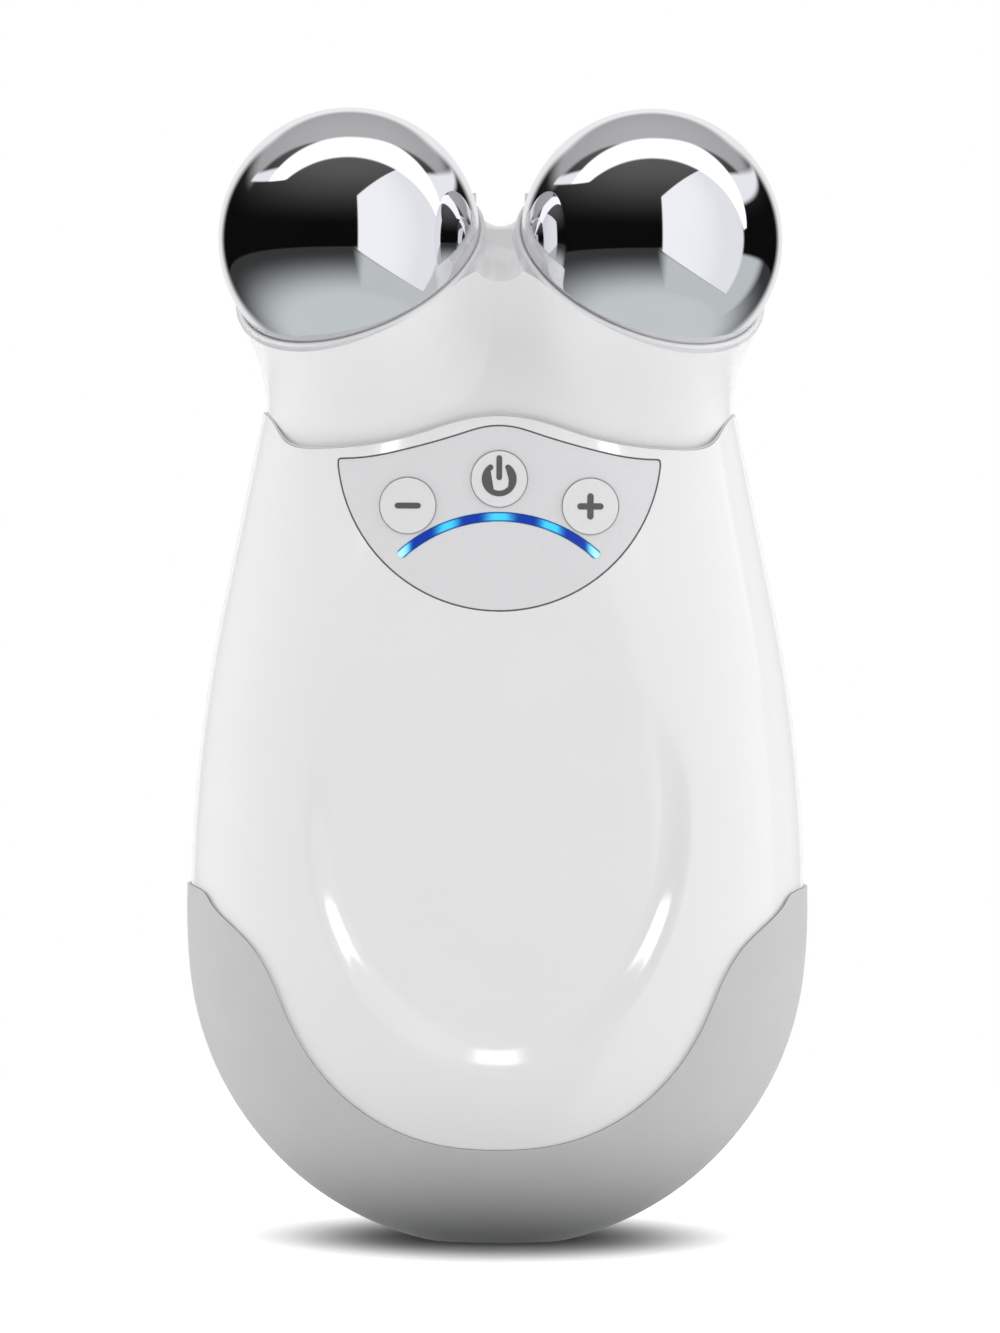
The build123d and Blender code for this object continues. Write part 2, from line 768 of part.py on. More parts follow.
with BuildPart() as front_bosses:
    add(lugs(-reach, -lug_start), clean=False)
    add([rod(facing_front(x, z), 0, reach, case_boss) for x, z in case_screw_places], clean=False)
    add(wall_middle, mode=Mode.INTERSECT, clean=False)

with BuildPart() as front_housing:
    add(front_skin, clean=False)
    add(below_seam, mode=Mode.INTERSECT, clean=False)
    add(front_cavity, mode=Mode.SUBTRACT, clean=False)
    add(grip_recess.part, mode=Mode.SUBTRACT, clean=False)
    add(panel_hollow.part, mode=Mode.SUBTRACT, clean=False)
    openings = [
        rod(facing_front(x, level), 0, reach, 2 * (flange_radius + flange_clearance))
        for x, level in button_places.values()
    ]
    add(openings, mode=Mode.SUBTRACT, clean=False)
    slot = light_sketch(flange_clearance)
    extrude(slot, amount=reach, dir=forward, mode=Mode.SUBTRACT, clean=False)
    posts = []
    for x, level in all_posts:
        end = front_surface(x, level, cavity_inset) + housing_wall / 2
        posts.append(rod(facing_front(x, level), board_front, end, post_diameter))
    add(posts + front_bosses.solids(), clean=False)
    pilots = lug_holes()
    for x, level in all_posts:
        pilots.append(rod(facing_front(x, level), 0, board_front + post_hole_depth, board_screw))
    for x, level in case_screw_places:
        pilots.append(rod(facing_front(x, level), 0, case_hole_depth, case_screw))
    add(pilots, mode=Mode.SUBTRACT, clean=False)
finish(front_housing, "front_housing")

with BuildPart() as back_bosses:
    add(lugs(lug_start, reach), clean=False)
    add([rod(facing_back_at(x, z), 0, reach, case_boss) for x, z in case_screw_places], clean=False)
    add(wall_middle, mode=Mode.INTERSECT, clean=False)

with BuildPart() as back_housing:
    add(back_skin, clean=False)
    add(below_seam, mode=Mode.INTERSECT, clean=False)
    add(back_cavity, mode=Mode.SUBTRACT, clean=False)
    add(grip_recess.part, mode=Mode.SUBTRACT, clean=False)
    charge_plane = facing_back_at(0, charge_board_level)
    end = back_surface(0, charge_board_level, cavity_inset) + housing_wall / 2
    post = rod(charge_plane, charge_board_back, end, post_diameter)
    add([post] + back_bosses.solids(), clean=False)
    bores = lug_holes()
    pilot = charge_board_back + charge_screw_grip + 4 * bond_gap
    bores.append(rod(charge_plane, 0, pilot, board_screw))
    for x, level in case_screw_places:
        plane = facing_back_at(x, level)
        bores.append(rod(plane, 0, reach, case_screw + 2 * screw_clearance))
        bores.append(rod(plane, case_seat, reach, case_screw_head + 2 * flange_clearance))
    for x, level in stud_places:
        plane = facing_back_at(x, level)
        bores.append(rod(plane, 0, reach, stud_neck + 2 * screw_clearance))
        bores.append(rod(plane, stud_seat, reach, stud_diameter + 2 * bond_gap))
    add(bores, mode=Mode.SUBTRACT, clean=False)
finish(back_housing, "back_housing")

with BuildPart() as case_screws:
    for x, level in case_screw_places:
        plane = facing_back_at(x, level)
        add(rod(plane, -case_screw_reach, case_seat, case_screw))
        add(rod(plane, case_seat, case_seat + case_head_height, case_screw_head))
finish(case_screws, "case_screws")

# ---------------------------------------------------------------- head shell
sides = {"left": -1, "right": 1}
ball_cut = 9.0                # the balls are cut flat this far below their centres
pocket_gap = 0.25
floor_thickness = 1.8
saddle_centre = (-5.5, 114.7)
saddle_radius = 11.0
saddle_groove = 3.0
saddle_tilt = 35.0
saddle_sweep = 120.0
rib_x = 22.4                  # screw line of the ribs inside the head
rib_half_width = 3.0
rib_height = 9.0
rib_overlap = 1.0             # past the screw line, beside the tray's wall
rib_hole_stop = 2.0           # the holes end this far under the ribs' tops
tray_inset = neck_inset + head_wall + 2 * bond_gap


def saddle_cutter():
    """Round-bottomed groove that wraps over the bridge between the cups."""
    turn = radians(saddle_tilt)
    centre = Vector(0, *saddle_centre)
    plane = Plane(origin=centre, x_dir=(1, 0, 0), z_dir=(0, -cos(turn), sin(turn)))
    bottom = saddle_radius + saddle_groove
    with BuildPart() as groove:
        with BuildSketch(plane) as notch:
            with Locations((0, bottom)):
                Circle(saddle_groove)
                Rectangle(2 * saddle_groove, reach, align=(Align.CENTER, Align.MIN))
        revolve(notch.sketch, axis=Axis(centre, (1, 0, 0)), revolution_arc=saddle_sweep)
        extrude(notch.sketch, amount=-reach)
    return groove.part


def lip_cutter(side):
    """Everything in front of a cup's lip, on that cup's side of the middle plane."""
    with BuildPart() as slab:
        with BuildSketch(cup_plane(side).offset(-cup_set_back)):
            Rectangle(2 * reach, 2 * reach)
        extrude(amount=reach)
        split(bisect_by=Plane.YZ, keep=Keep.TOP if side > 0 else Keep.BOTTOM)
    return slab.part


with BuildPart() as head_hollow:
    add(head_form(head_wall, 0, hollow_top), clean=False)
    for side in sides.values():
        radius = ball_radius + pocket_gap + floor_thickness
        bowl = cut_ball(cup_plane(side), radius, ball_cut + floor_thickness)
        add(bowl, mode=Mode.SUBTRACT, clean=False)

tray_top = deck_level + tray_thickness
rib_top = tray_top + rib_height
rib_near = rib_x - rib_half_width
rib_far = rib_x + rib_overlap
rib_step = tray_rim + rim_clearance
with BuildPart() as head_ribs:
    for side in sides.values():
        near, far = sorted((side * rib_near, side * rib_far))
        add(block((near, -rib_half_width, tray_top), (far, rib_half_width, rib_top)), clean=False)
        near, far = sorted((side * rib_near, side * reach))
        add(block((near, -rib_half_width, rib_step), (far, rib_half_width, rib_top)), clean=False)
    add(head_form(head_wall / 2, 0, hollow_top), mode=Mode.INTERSECT, clean=False)

with BuildPart() as head_shell:
    add(head_form(0.0, 0, fan_top), clean=False)
    add(above_seam, mode=Mode.INTERSECT, clean=False)
    for side in sides.values():
        add(lip_cutter(side), mode=Mode.SUBTRACT, clean=False)
    add(head_hollow.part, mode=Mode.SUBTRACT, clean=False)
    add(head_ribs.solids(), clean=False)
    for side in sides.values():
        pocket = cut_ball(cup_plane(side), ball_radius + pocket_gap, ball_cut)
        add(pocket, mode=Mode.SUBTRACT, clean=False)
    add(saddle_cutter(), mode=Mode.SUBTRACT, clean=False)
    bores = []
    for side in sides.values():
        hole = ball_screw + 2 * screw_clearance
        bores.append(rod(cup_plane(side), -ball_cut - 2 * floor_thickness, 0, hole))
        bores.append(rod(upright(side * rib_x, 0), tray_top, rib_top - rib_hole_stop, socket_screw))
    add(bores, mode=Mode.SUBTRACT, clean=False)
finish(head_shell, "head_shell")

# ---------------------------------------------------------------- tray and spigot
head_seat = deck_level + 1.4  # on the heads of the screws that hold the tray
with BuildPart() as head_base:
    tray = section_face(seam_side, tray_inset, deck_level)
    extrude(tray, amount=tray_rim - deck_level, clean=False)
    inner = section_face(seam_side, tray_inset + tray_wall, tray_top)
    extrude(inner, amount=reach, mode=Mode.SUBTRACT, clean=False)
    with BuildSketch(Plane.XY.offset(deck_level - spigot_length)):
        RectangleRounded(*spigot_size, spigot_corner)
    extrude(amount=spigot_length, clean=False)
    bores = []
    for place in pin_places:
        bores.append(rod(upright(*place), 0, 2 * reach, pin_diameter + 2 * bond_gap))
    for side in sides.values():
        plane = upright(side * rib_x, 0)
        bores.append(rod(plane, 0, 2 * reach, socket_screw + 2 * screw_clearance))
        bores.append(rod(plane, 0, head_seat, 2 * socket_screw))
    add(bores, mode=Mode.SUBTRACT, clean=False)
finish(head_base, "head_base")

with BuildPart() as head_screws:
    for side in sides.values():
        plane = upright(side * rib_x, 0)
        tip = rib_top - rib_hole_stop - 4 * sunk
        add(rod(plane, head_seat, tip, socket_screw))
        add(rod(plane, deck_level + 2 * sunk, head_seat, 2 * socket_screw - screw_play))
finish(head_screws, "head_screws")

pin_head = 0.6
with BuildPart() as contact_pins:
    for place in pin_places:
        tip = deck_level - spigot_length - pin_reach
        add(rod(upright(*place), tip, tray_top, pin_diameter))
        add(rod(upright(*place), tray_top, tray_top + pin_head, 2 * pin_diameter))
finish(contact_pins, "contact_pins")

# ---------------------------------------------------------------- balls
ball_shell = 1.6
ball_post = 7.0
screw_depth = 7.0
screw_tip_room = 1.0
ball_screw_head = 1.6
washer_thickness = 0.4
washer_diameter = 6.0
seal_height = 1.6
seal_proud = 0.15
seal_gap = 0.03

for name, side in sides.items():
    plane = cup_plane(side)
    turned = turning_plane(plane)
    axis = Axis(plane.origin, plane.z_dir)
    with BuildPart() as ball:
        add(cut_ball(plane, ball_radius, ball_cut))
        inner = ball_radius - ball_shell
        with BuildSketch(turned):
            with BuildLine():
                post = ball_post / 2
                rim = (sqrt(inner**2 - ball_cut**2), -ball_cut)
                crown = (post, sqrt(inner**2 - post**2))
                ThreePointArc(crown, (inner, 0), rim)
                Polyline(rim, (post, -ball_cut), crown)
            make_face()
        revolve(axis=axis, mode=Mode.SUBTRACT)
        hole = screw_depth - ball_cut + screw_tip_room
        add(rod(plane, -ball_cut, hole, ball_screw), mode=Mode.SUBTRACT)
    finish(ball, f"{name}_ball")
    with BuildPart() as seal:
        with BuildSketch(turned):
            Circle(ball_radius + pocket_gap - seal_gap)
            Circle(ball_radius + seal_gap, mode=Mode.SUBTRACT)
            with Locations((0, seal_proud - cup_set_back)):
                band = (Align.MIN, Align.MAX)
                Rectangle(reach, seal_height, align=band, mode=Mode.INTERSECT)
        revolve(axis=axis)
    finish(seal, f"{name}_seal")

with BuildPart() as ball_screws:
    for side in sides.values():
        seat = -ball_cut - floor_thickness - washer_thickness
        add(rod(cup_plane(side), seat, screw_depth - ball_cut, ball_screw))
        add(rod(cup_plane(side), seat - ball_screw_head, seat, 2 * ball_screw))
finish(ball_screws, "ball_screws")

strap_diameter = 1.2
tab_diameter = 2.4            # joins the strap to its washer, beside the screw's head
tab_radius = ball_screw + strap_diameter / 2 + 3 * bond_gap
with BuildPart() as contact_straps:
    for side, place in zip(sides.values(), pin_places):
        plane = cup_plane(side)
        top = -ball_cut - floor_thickness
        seat = top - washer_thickness
        end = Vector(*place, tray_top + pin_head)
        aside = plane.to_local_coords(end)
        aside = Vector(aside.X, aside.Y, 0).normalized() * tab_radius
        start = plane.from_local_coords(aside + Vector(0, 0, (seat + top) / 2))
        tab = Plane(origin=plane.from_local_coords(aside), z_dir=plane.z_dir)
        leg = Plane(origin=start, z_dir=end - start)
        add(rod(plane, seat, top, washer_diameter))
        add(rod(tab, seat, top, tab_diameter))
        add(rod(leg, 0, (end - start).length, strap_diameter))
        hole = rod(plane, -2 * ball_cut, 0, ball_screw + 2 * screw_clearance)
        head = rod(plane, -reach, seat, 2 * ball_screw + 2 * sunk)
        pin = rod(upright(*place), 0, tray_top + pin_head, 4 * pin_diameter)
        floor = rod(plane, top, 0, 2 * ball_radius)
        add([hole, head, pin, floor], mode=Mode.SUBTRACT)
finish(contact_straps, "contact_straps")
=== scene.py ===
from math import asin, atan2, cos, exp, hypot, pi, radians, sin, sqrt, tan

import bmesh
import bpy
from mathutils import Matrix, Vector


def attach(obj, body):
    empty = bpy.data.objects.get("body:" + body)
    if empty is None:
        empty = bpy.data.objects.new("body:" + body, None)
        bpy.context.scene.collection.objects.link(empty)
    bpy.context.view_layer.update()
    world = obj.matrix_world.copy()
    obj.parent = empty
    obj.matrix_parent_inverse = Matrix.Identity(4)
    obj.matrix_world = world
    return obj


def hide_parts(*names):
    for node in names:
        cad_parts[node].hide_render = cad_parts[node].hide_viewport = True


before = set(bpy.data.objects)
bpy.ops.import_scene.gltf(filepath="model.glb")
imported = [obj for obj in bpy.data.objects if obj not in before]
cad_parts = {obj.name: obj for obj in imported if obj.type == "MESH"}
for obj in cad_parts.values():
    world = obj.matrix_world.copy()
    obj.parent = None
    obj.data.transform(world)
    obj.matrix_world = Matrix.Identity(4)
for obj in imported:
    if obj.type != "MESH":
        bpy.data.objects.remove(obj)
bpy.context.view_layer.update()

MM = 0.001

# ---------------------------------------------------------------- studio
# A white table under one wide overhead softbox and two side lights, in a world painted by
# direction: a drawn room for polished surfaces, even light for the rest and white for the camera.
# The camera stands nearly level with the device, far away with a long lens.


class Reading:
    """A number or colour inside a finish.  Sums and products of readings add Math nodes."""

    def __init__(self, finish, socket):
        self.finish = finish
        self.socket = socket

    def maths(self, operation, *others):
        """A Math node with this reading first."""
        return self.finish.node("ShaderNodeMath", {"operation": operation}, self, *others)

    def reflected(self, operation, other):
        """A Math node with this reading second."""
        return self.finish.node("ShaderNodeMath", {"operation": operation}, other, self)

    def __add__(self, other):
        return self.maths("ADD", other)

    def __sub__(self, other):
        return self.maths("SUBTRACT", other)

    def __rsub__(self, other):
        return self.reflected("SUBTRACT", other)

    def __mul__(self, other):
        return self.maths("MULTIPLY", other)

    def __truediv__(self, other):
        return self.maths("DIVIDE", other)

    def __rtruediv__(self, other):
        return self.reflected("DIVIDE", other)

    def __pow__(self, other):
        return self.maths("POWER", other)

    def __neg__(self):
        return 0.0 - self

    __radd__ = __add__
    __rmul__ = __mul__

    def size(self):
        return self.maths("ABSOLUTE")

    def at_least(self, other):
        return self.maths("MAXIMUM", other)

    def at_most(self, other):
        return self.maths("MINIMUM", other)

    def ramp(self, start, end):
        """0 below start, 1 above end, smooth between; start may be the larger."""
        smooth = {"interpolation_type": "SMOOTHSTEP"}
        return self.finish.node("ShaderNodeMapRange", smooth, self, start, end, 0.0, 1.0)

    def within(self, low, high, soft):
        """1 between two values, falling off over a soft edge."""
        return self.ramp(low - soft, low + soft) * self.ramp(high + soft, high - soft)


class Finish:
    """The nodes of one material, or of the world."""

    def __init__(self, name, owner=None):
        self.owner = owner or bpy.data.materials.new(name)
        self.owner.use_nodes = True
        self.tree = self.owner.node_tree
        self.tree.nodes.clear()

    def node(self, kind, settings=None, *values, out=0, **named):
        """Adds a node: its settings first, then its sockets' values or links."""
        made = self.tree.nodes.new(kind)
        for key, value in (settings or {}).items():
            setattr(made, key, value)
        sockets = list(enumerate(values))
        sockets += [(key.replace("_", " "), value) for key, value in named.items()]
        for key, value in sockets:
            self.feed(made.inputs[key], value)
        return Reading(self, made.outputs[out]) if made.outputs else None

    def feed(self, socket, value):
        """Links a reading to a socket, or sets the socket to a constant."""
        if isinstance(value, Reading):
            self.tree.links.new(value.socket, socket)
        else:
            if isinstance(value, tuple) and socket.type == "RGBA":
                value = (*value, 1)
            socket.default_value = value

    def axes(self, source="Object"):
        """The place on the piece, as three readings."""
        place = self.node("ShaderNodeTexCoord", out=source)
        return [self.node("ShaderNodeSeparateXYZ", None, place, out=axis) for axis in "XYZ"]

    def grain(self, scale, detail=2.0, roughness=0.5, stretch=None):
        """Even noise between 0 and 1 with features of 1/scale metres."""
        place = self.node("ShaderNodeTexCoord", out="Object")
        if stretch:
            place = self.node("ShaderNodeVectorMath", {"operation": "MULTIPLY"}, place, stretch)
        return self.node(
            "ShaderNodeTexNoise", None,
            Vector=place, Scale=scale, Detail=detail, Roughness=roughness,
        )

    def blend(self, amount, first, second):
        """Colour between two colours."""
        mix = self.tree.nodes.new("ShaderNodeMix")
        mix.data_type = "RGBA"
        amount_socket, first_socket, second_socket, result = 0, 6, 7, 2
        self.feed(mix.inputs[amount_socket], amount)
        self.feed(mix.inputs[first_socket], first)
        self.feed(mix.inputs[second_socket], second)
        return Reading(self, mix.outputs[result])

    def bump(self, height, depth, strength=1.0):
        """Surface relief from a height reading; depth in metres."""
        return self.node("ShaderNodeBump", None, Strength=strength, Distance=depth, Height=height)

    def surface(self, **inputs):
        """Ends the finish in a Principled surface."""
        shader = self.node("ShaderNodeBsdfPrincipled", None, **inputs)
        self.node("ShaderNodeOutputMaterial", None, Surface=shader)
        return self.owner


def grained(name, grain, colours, roughness, relief=None, **inputs):
    """Finish that varies with one grain: its two colours, its roughness as least and added, and
    its relief as depth and strength."""
    made = Finish(name)
    noise = made.grain(*grain)
    least, added = roughness
    if relief:
        inputs["Normal"] = made.bump(noise, *relief)
    return made.surface(
        Base_Color=made.blend(noise, *colours), Roughness=least + noise * added, **inputs
    )


def coat(finish, *nodes):
    """Gives CAD nodes a finish."""
    for node in nodes:
        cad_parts[node].data.materials[0] = finish


def grey(level):
    """Neutral colour."""
    return (level, level, level)


def light(name, place, target, size, power):
    """Rectangular softbox aimed at a point."""
    data = bpy.data.lights.new(name, "AREA")
    data.shape = "RECTANGLE"
    data.size, data.size_y = size
    data.energy = power
    lamp = bpy.data.objects.new(name, data)
    bpy.context.scene.collection.objects.link(lamp)
    lamp.location = place
    lamp.rotation_euler = (Vector(target) - Vector(place)).to_track_quat("-Z", "Y").to_euler()
    lamp.visible_glossy = False
    return lamp


def add_piece(name, mesh):
    """Links a mesh as an object at the origin."""
    piece = bpy.data.objects.new(name, mesh)
    bpy.context.scene.collection.objects.link(piece)
    return piece


# The table's colour holds a painted shadow round the device's foot and ends in plain white.  Radii
# in metres.
table_radius = 0.75
fade_to_white = (0.10, 0.22)
camera_painted_shadow = (0.012, 0.032)
bounce_painted_shade = (0.008, 0.055)
table_finish = Finish("white table with painted shadow")
speckle = table_finish.grain(60.0)
table_x, table_y, _ = table_finish.axes()
from_middle = (table_x * table_x + table_y * table_y) ** 0.5
paper_and_painted_shade = table_finish.blend(speckle, grey(0.96), grey(1.02))
# Painted shade: the table is darker near the device's foot for bounced light.
paper_and_painted_shade = table_finish.blend(from_middle.ramp(*bounce_painted_shade), grey(0.05), paper_and_painted_shade)
# Painted shadow: the table the camera sees is darker round the device's foot.
clear = table_finish.blend(from_middle.ramp(*camera_painted_shadow), grey(0.40), grey(1.45))
seen = table_finish.node("ShaderNodeLightPath", out="Is Camera Ray")
cloth_with_painted_shade = table_finish.node("ShaderNodeBsdfDiffuse", None, Color=paper_and_painted_shade)
bright_cloth_with_painted_shadow = table_finish.node("ShaderNodeBsdfDiffuse", None, Color=clear)
white_glow = table_finish.node("ShaderNodeEmission", None, Color=grey(1.0), Strength=1.0)
near = table_finish.node("ShaderNodeMixShader", None, seen, cloth_with_painted_shade, bright_cloth_with_painted_shadow)
white_share = from_middle.ramp(*fade_to_white) * seen
whole = table_finish.node("ShaderNodeMixShader", None, white_share, near, white_glow)
table_finish.node("ShaderNodeOutputMaterial", None, Surface=whole)
table_mesh = bpy.data.meshes.new("table")
table_shape = bmesh.new()
bmesh.ops.create_circle(table_shape, cap_ends=True, radius=table_radius, segments=96)
table_shape.to_mesh(table_mesh)
table_shape.free()
table = add_piece("table", table_mesh)
table.data.materials.append(table_finish.owner)
table.visible_glossy = False

world = bpy.data.worlds.new("studio")
bpy.context.scene.world = world
room = Finish("studio", world)
side, back, rise = room.axes("Generated")
seen_by_camera = room.node("ShaderNodeLightPath", out="Is Camera Ray")
seen_in_gloss = room.node("ShaderNodeLightPath", out="Is Glossy Ray")

# Turn is 0 to the front and grows to the right, lift is 0 at eye level, both in degrees.  Across
# and upward are places on a wall one unit in front, over_side and over_back on a ceiling one up.
in_degrees = 180 / pi
least_share = 0.001
turn = side.maths("ARCTAN2", -back) * in_degrees
lift = rise.maths("ARCSINE") * in_degrees
front = (-back).at_least(least_share)
height = rise.at_least(least_share)
across = side / front
upward = rise / front
over_side = side / height
over_back = back / height

# Ceiling box over the device, cut off by a slanted foot on its left.
back_edge = over_side.ramp(0.0, 0.6) * 0.10 + 0.16 - over_back
left_foot = lift - 42.0 - (turn + 75.0) / 3.0 + turn.ramp(-60.0, -40.0) * 90.0
above_foot = left_foot.ramp(-0.5, 1.0)
ceiling_box = over_back.ramp(-0.30, -0.24) * back_edge.ramp(-0.03, 0.04) * above_foot
ceiling_box = ceiling_box * lift.ramp(4.0, 8.0)

# Tall box on the front wall, to the right, wider toward its far end.
wall_top = across * 1.25 + 0.56 - upward
wall_foot = upward + 0.09 + across * 0.70
wall_box = across.ramp(0.14, 0.17) * wall_top.ramp(-0.02, 0.04) * wall_foot.ramp(-0.01, 0.01)
wall_box = wall_box * back.ramp(0.0, -0.01) * turn.ramp(89.0, 86.0)

# A sliver of light high on the left and a slanted band on the right.
sliver_top = (turn + 98.0) * 0.6 + 45.0 - lift
sliver = turn.within(-121.0, -80.0, 2.0) * above_foot * sliver_top.ramp(-2.0, 2.0)
band_top = 46.0 - (turn - 88.0) * 0.4 - lift
right_band = turn.within(89.0, 150.0, 3.0) * lift.ramp(20.0, 24.0) * band_top.ramp(-2.0, 2.0)

# Dark surroundings that lighten overhead, and brighten behind the device.
haze_wall = turn.size().ramp(112.0, 120.0) * lift.ramp(22.0, 34.0)
backdrop = turn.size().ramp(140.0, 156.0) * lift.ramp(38.0, 24.0)
brightness = 0.004 + lift.ramp(10.0, 70.0) * 0.11 + haze_wall * 0.38 + backdrop * 0.9

# Pale ground, clearest below, with the light of the wall box on it and a dark line at its foot.
ground = lift.ramp(-12.0, -54.0) * 0.94 + lift.ramp(-7.5, -9.0) * 0.06
near_wall = turn.ramp(2.0, 16.0) * turn.ramp(125.0, 108.0) * lift.ramp(-7.0, -10.0)
foot_line = wall_foot.within(-0.03, -0.01, 0.01) * turn.within(6.0, 86.0, 2.0)
ground = ground.at_least(near_wall * 0.92) - foot_line * 0.25

ground_grey = (0.63, 0.675, 0.67)
wall_near, wall_far = (1.04, 1.04, 1.08), (0.90, 0.90, 0.94)
side_white = (0.94, 0.95, 0.99)
ceiling_white = (1.35, 1.35, 1.38)
room_light = room.blend(ground, brightness, ground_grey)
wall_colour = room.blend(across.ramp(0.2, 2.5), wall_near, wall_far)
room_light = room.blend(wall_box, room_light, wall_colour)
room_light = room.blend((sliver + right_band).at_most(1.0), room_light, side_white)
room_light = room.blend(ceiling_box, room_light, ceiling_white)

# Even light on everything that is not polished: least from the front, more from both sides.
front_light, back_light, side_light, right_light = 0.48, 0.34, 0.36, 0.05
sideways = side.size().ramp(0.35, 0.95) * side_light + side.ramp(0.2, 0.9) * right_light
soft_light = back.ramp(-0.9, 0.6) * back_light + front_light + sideways

mirror_view = room.node("ShaderNodeBackground", None, Color=room_light, Strength=1.0)
ambient = room.node("ShaderNodeBackground", None, Color=grey(1.0), Strength=soft_light)
backing = room.node("ShaderNodeBackground", None, Color=grey(1.0), Strength=1.0)
lit = room.node("ShaderNodeMixShader", None, seen_in_gloss, ambient, mirror_view)
shown = room.node("ShaderNodeMixShader", None, seen_by_camera, lit, backing)
room.node("ShaderNodeOutputWorld", None, Surface=shown)

# Name, place, level aimed at, size and power of each softbox.
for name, place, level, size, power in (
    ("overhead softbox", (0.0, -0.25, 1.1), 0.05, (1.6, 1.2), 2.8),
    ("left softbox", (-1.1, -0.25, 0.35), 0.07, (0.7, 0.7), 2.7),
    ("right softbox", (1.1, -0.30, 0.35), 0.08, (0.7, 0.7), 3.0),
):
    light(name, place, (0, 0, level), size, power)

scene = bpy.context.scene
scene.view_settings.view_transform = "Standard"
camera_distance = 0.80
camera_rise = radians(2.0)
camera_roll = radians(0.26)
frame_pixels = 1333
pixels_per_mm = 8.04
frame_height = frame_pixels / pixels_per_mm * MM
aim = Vector((0.0002, 0.0, 0.0712))
lens_data = bpy.data.cameras.new("camera")
lens_data.sensor_fit = "VERTICAL"
lens_data.sensor_height = 24.0
lens_data.lens = lens_data.sensor_height * camera_distance / frame_height
lens_data.clip_end = 20.0
camera = bpy.data.objects.new("camera", lens_data)
scene.collection.objects.link(camera)
away = Vector((0, -cos(camera_rise), sin(camera_rise)))
camera.location = aim + away * camera_distance
level_view = (-away).to_track_quat("-Z", "Y").to_matrix().to_4x4()
camera.rotation_euler = (level_view @ Matrix.Rotation(camera_roll, 4, "Z")).to_euler()
scene.camera = camera

# ---------------------------------------------------------------- white housings
# Two moulded halves of gloss white ABS, screwed together along the flanks.  The moulding leaves
# the faintest flow marks and orange peel under the polish.

# The body's curves in width, to the front and to the back: greatest half-size, radii of base, hip
# and flank arcs, and the lean of the straight above them in degrees, where 90 means upright.
width_arcs = (38.6, 38.4, 73.0, 184.0, 11.7)
front_arcs = (19.0, 18.6, 60.0, 640.0, 90.0)
back_arcs = (23.0, 22.0, 80.0, 240.0, 90.0)
base_sink = 1.1
squareness = 2.3
grip_proud = 0.5        # the housings lie this far inside the grip's surface
scoop_level = 50.0
scoop_drop, scoop_rise = 29.0, 36.0
scoop_half_width = 24.5
scoop_depth = 2.6


def half_size(arcs, level, inset):
    """Half-size of the body at a level: base arc, hip arc, flank arc and a straight."""
    half, base, hip, flank, lean = arcs
    widest = base - base_sink + sqrt((hip - base) ** 2 - (hip - half) ** 2)
    base_level = base - base_sink
    join = base_level - (widest - base_level) * (base - inset) / (hip - base)
    if level < join:
        return sqrt(max((base - inset) ** 2 - (level - base_level) ** 2, 0.0))
    if level < widest:
        return half - hip + sqrt((hip - inset) ** 2 - (level - widest) ** 2)
    arc_level = min(level, widest + (flank - inset) * sin(radians(lean)))
    size = half - flank + sqrt((flank - inset) ** 2 - (arc_level - widest) ** 2)
    return size - (level - arc_level) * (tan(radians(lean)) if lean < 90 else 0.0)


def scoop(x, level):
    """How far the thumb scoop lies below the front."""
    reach = scoop_drop if level < scoop_level else scoop_rise
    away = (x / scoop_half_width) ** 2 + ((level - scoop_level) / reach) ** 2
    return scoop_depth * exp(-(away**2))


def body_field(inset):
    """A number that is 0 on the body's surface at an inset and grows outward."""

    def field(x, y, level):
        share = (abs(x) / half_size(width_arcs, level, inset)) ** squareness
        if y < 0:
            depth = half_size(front_arcs, level, inset)
            y = y - scoop(x, level) * max(1.0 - share, 0.0)
        else:
            depth = half_size(back_arcs, level, inset)
        return share + (abs(y) / depth) ** squareness - 1.0

    return field


def front_surface(x, level, inset):
    """Distance of the front surface ahead of the parting plane."""
    share = 1.0 - (abs(x) / half_size(width_arcs, level, inset)) ** squareness
    depth = half_size(front_arcs, level, inset) * share ** (1 / squareness)
    return depth - scoop(x, level) * share


def true_normals(mesh, field):
    """The surface's own direction at each vertex that lies on a field's zero, by vertex index."""
    step = 0.01
    tolerance = 0.06
    exact = {}
    for vertex in mesh.vertices:
        x, y, z = vertex.co / MM
        slope = Vector((
            field(x + step, y, z) - field(x - step, y, z),
            field(x, y + step, z) - field(x, y - step, z),
            field(x, y, z + step) - field(x, y, z - step),
        )) / (2 * step)
        if slope.length > 1e-9 and abs(field(x, y, z)) / slope.length < tolerance:
            exact[vertex.index] = slope.normalized()
    return exact


def smoothed(name, node, field=None):
    """Copy of a CAD node, merged, with the true surface's own direction where it follows a field
    and plain smooth or sharp shading elsewhere."""
    sharp_angle = radians(24)
    same_way = 0.8
    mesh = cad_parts[node].data.copy()
    mesh.name = name
    shape = bmesh.new()
    shape.from_mesh(mesh)
    bmesh.ops.remove_doubles(shape, verts=shape.verts, dist=1e-7)
    for face in shape.faces:
        face.smooth = True
    for edge in shape.edges:
        edge.smooth = len(edge.link_faces) == 2 and edge.calc_face_angle(pi) < sharp_angle
    shape.to_mesh(mesh)
    shape.free()
    mesh.materials.clear()
    exact = true_normals(mesh, field) if field else {}
    normals = [Vector(item.vector) for item in mesh.corner_normals]
    for face in mesh.polygons:
        for corner in face.loop_indices:
            true = exact.get(mesh.loops[corner].vertex_index)
            if true is not None and true.dot(face.normal) > same_way:
                normals[corner] = true
    mesh.normals_split_custom_set(normals)
    return add_piece(name, mesh)


